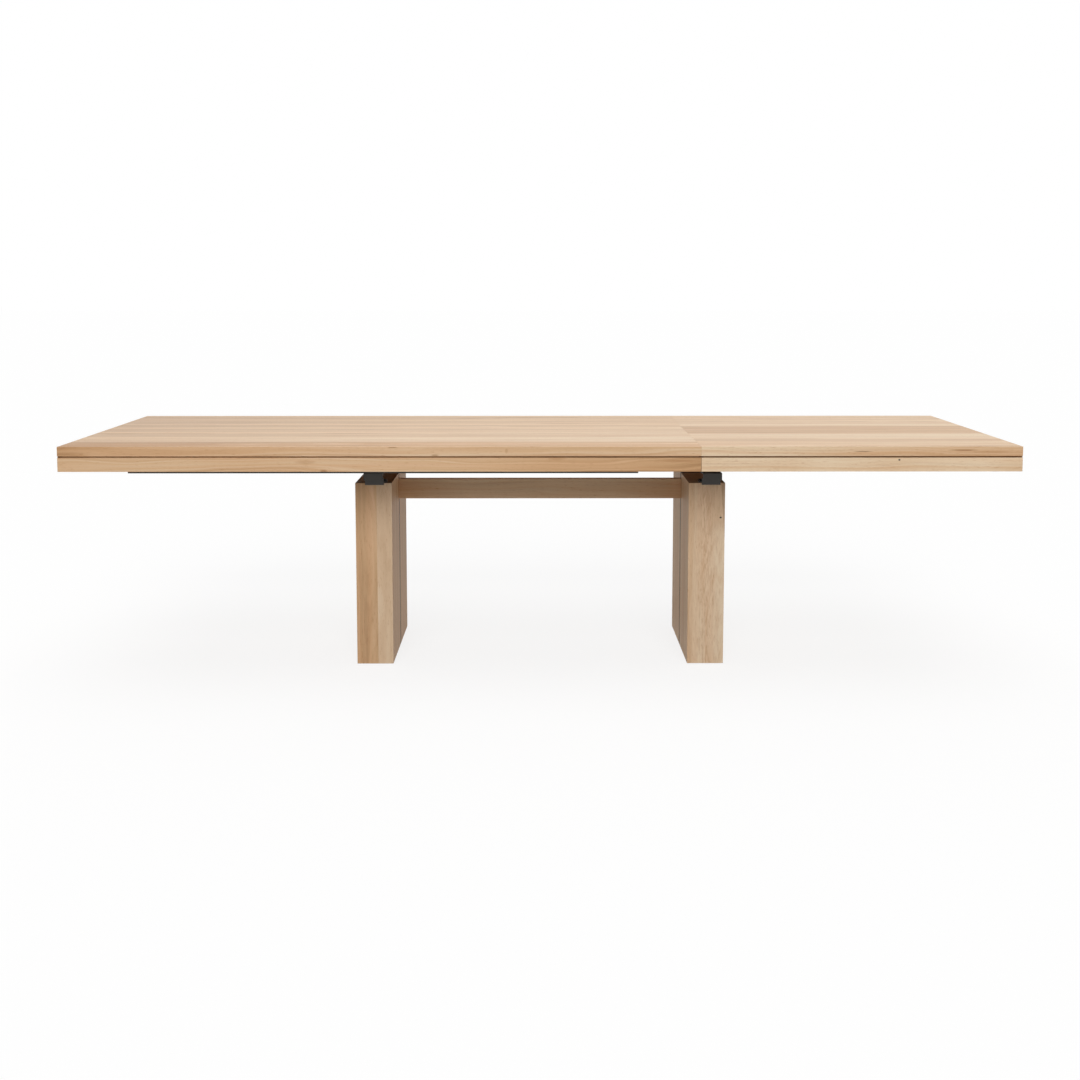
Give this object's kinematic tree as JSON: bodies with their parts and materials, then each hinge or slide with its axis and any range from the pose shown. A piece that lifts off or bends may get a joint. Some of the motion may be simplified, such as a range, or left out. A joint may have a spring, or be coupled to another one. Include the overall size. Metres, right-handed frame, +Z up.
{
  "type": "extendable dining table",
  "caption": "Extendable oak dining table: long top sliding on a slab-leg base with a crossbeam, and a lift-off leaf carried on pull-out steel arms.",
  "frame": {"origin": "on the floor, under the middle of the extended top", "axes": "+X along the table, from the main top to the leaf; +Y to the rear; +Z up"},
  "size_m": [3.0004, 1, 0.76],
  "materials": {
    "oak": "oiled solid oak, lengthwise boards",
    "oak_light": "oiled solid oak, the paler leaf",
    "beech": "plain planed beech",
    "black_steel": "dark powder-coated steel",
    "zinc_steel": "zinc-plated steel",
    "nylon": "moulded nylon"
  },
  "bodies": {
    "base": {"leg_left_front_board": "oak", "leg_left_rear_board": "oak", "leg_right_front_board": "oak", "leg_right_rear_board": "oak", "leg_left_spline": "beech", "leg_right_spline": "beech", "crossbeam": "oak", "foot_left_front": "nylon", "foot_left_rear": "nylon", "foot_right_front": "nylon", "foot_right_rear": "nylon", "bracket_left_front": "black_steel", "bracket_left_rear": "black_steel", "bracket_right_front": "black_steel", "bracket_right_rear": "black_steel", "bracket_screw_left_front": "black_steel", "bracket_screw_left_rear": "black_steel", "bracket_screw_right_front": "black_steel", "bracket_screw_right_rear": "black_steel", "fixed_rail_front": "black_steel", "fixed_rail_rear": "black_steel", "frame_tie_left": "black_steel", "frame_tie_right": "black_steel", "slide_block_left_front": "nylon", "slide_block_left_rear": "nylon", "slide_block_right_front": "nylon", "slide_block_right_rear": "nylon"},
    "main_top": {"main_panel": "oak", "main_rim_front": "oak", "main_rim_rear": "oak", "main_rim_left": "oak", "main_rim_right": "oak", "main_batten_left": "beech", "main_batten_middle": "beech", "main_batten_right": "beech", "main_batten_seam": "beech", "moving_rail_front": "black_steel", "moving_rail_rear": "black_steel", "hook_pivot_front": "zinc_steel", "hook_pivot_rear": "zinc_steel"},
    "leaf": {"leaf_panel": "oak_light", "leaf_rim_front": "oak_light", "leaf_rim_rear": "oak_light", "leaf_rim_left": "oak_light", "leaf_rim_right": "oak_light", "leaf_batten_left": "beech", "leaf_batten_right": "beech", "leaf_runner_front": "beech", "leaf_runner_rear": "beech", "leaf_stud_front": "zinc_steel", "leaf_stud_rear": "zinc_steel"},
    "leaf_arms": {"leaf_arm_front": "black_steel", "leaf_arm_rear": "black_steel", "arm_end_tie": "black_steel"},
    "front_hook": {"leaf_hook_front": "zinc_steel"},
    "rear_hook": {"leaf_hook_rear": "zinc_steel"}
  },
  "joints": [
    {"name": "top_slide", "type": "slide", "parent": "base", "child": "main_top", "axis": [1, 0, 0], "range_m": [0, 0.5]},
    {"name": "arms_slide", "type": "slide", "parent": "base", "child": "leaf_arms", "axis": [1, 0, 0], "range_m": [-0.735, 0]},
    {"name": "leaf_lift", "type": "slide", "parent": "main_top", "child": "leaf", "axis": [0, 0, 1], "range_m": [0, 0.15]},
    {"name": "front_hook_swing", "type": "hinge", "parent": "main_top", "child": "front_hook", "pos_m": [0.43945, -0.15, 0.6795], "axis": [0, 0, 1], "range_deg": [0, 90]},
    {"name": "rear_hook_swing", "type": "hinge", "parent": "main_top", "child": "rear_hook", "pos_m": [0.43945, 0.15, 0.6795], "axis": [0, 0, -1], "range_deg": [0, 90]}
  ]
}
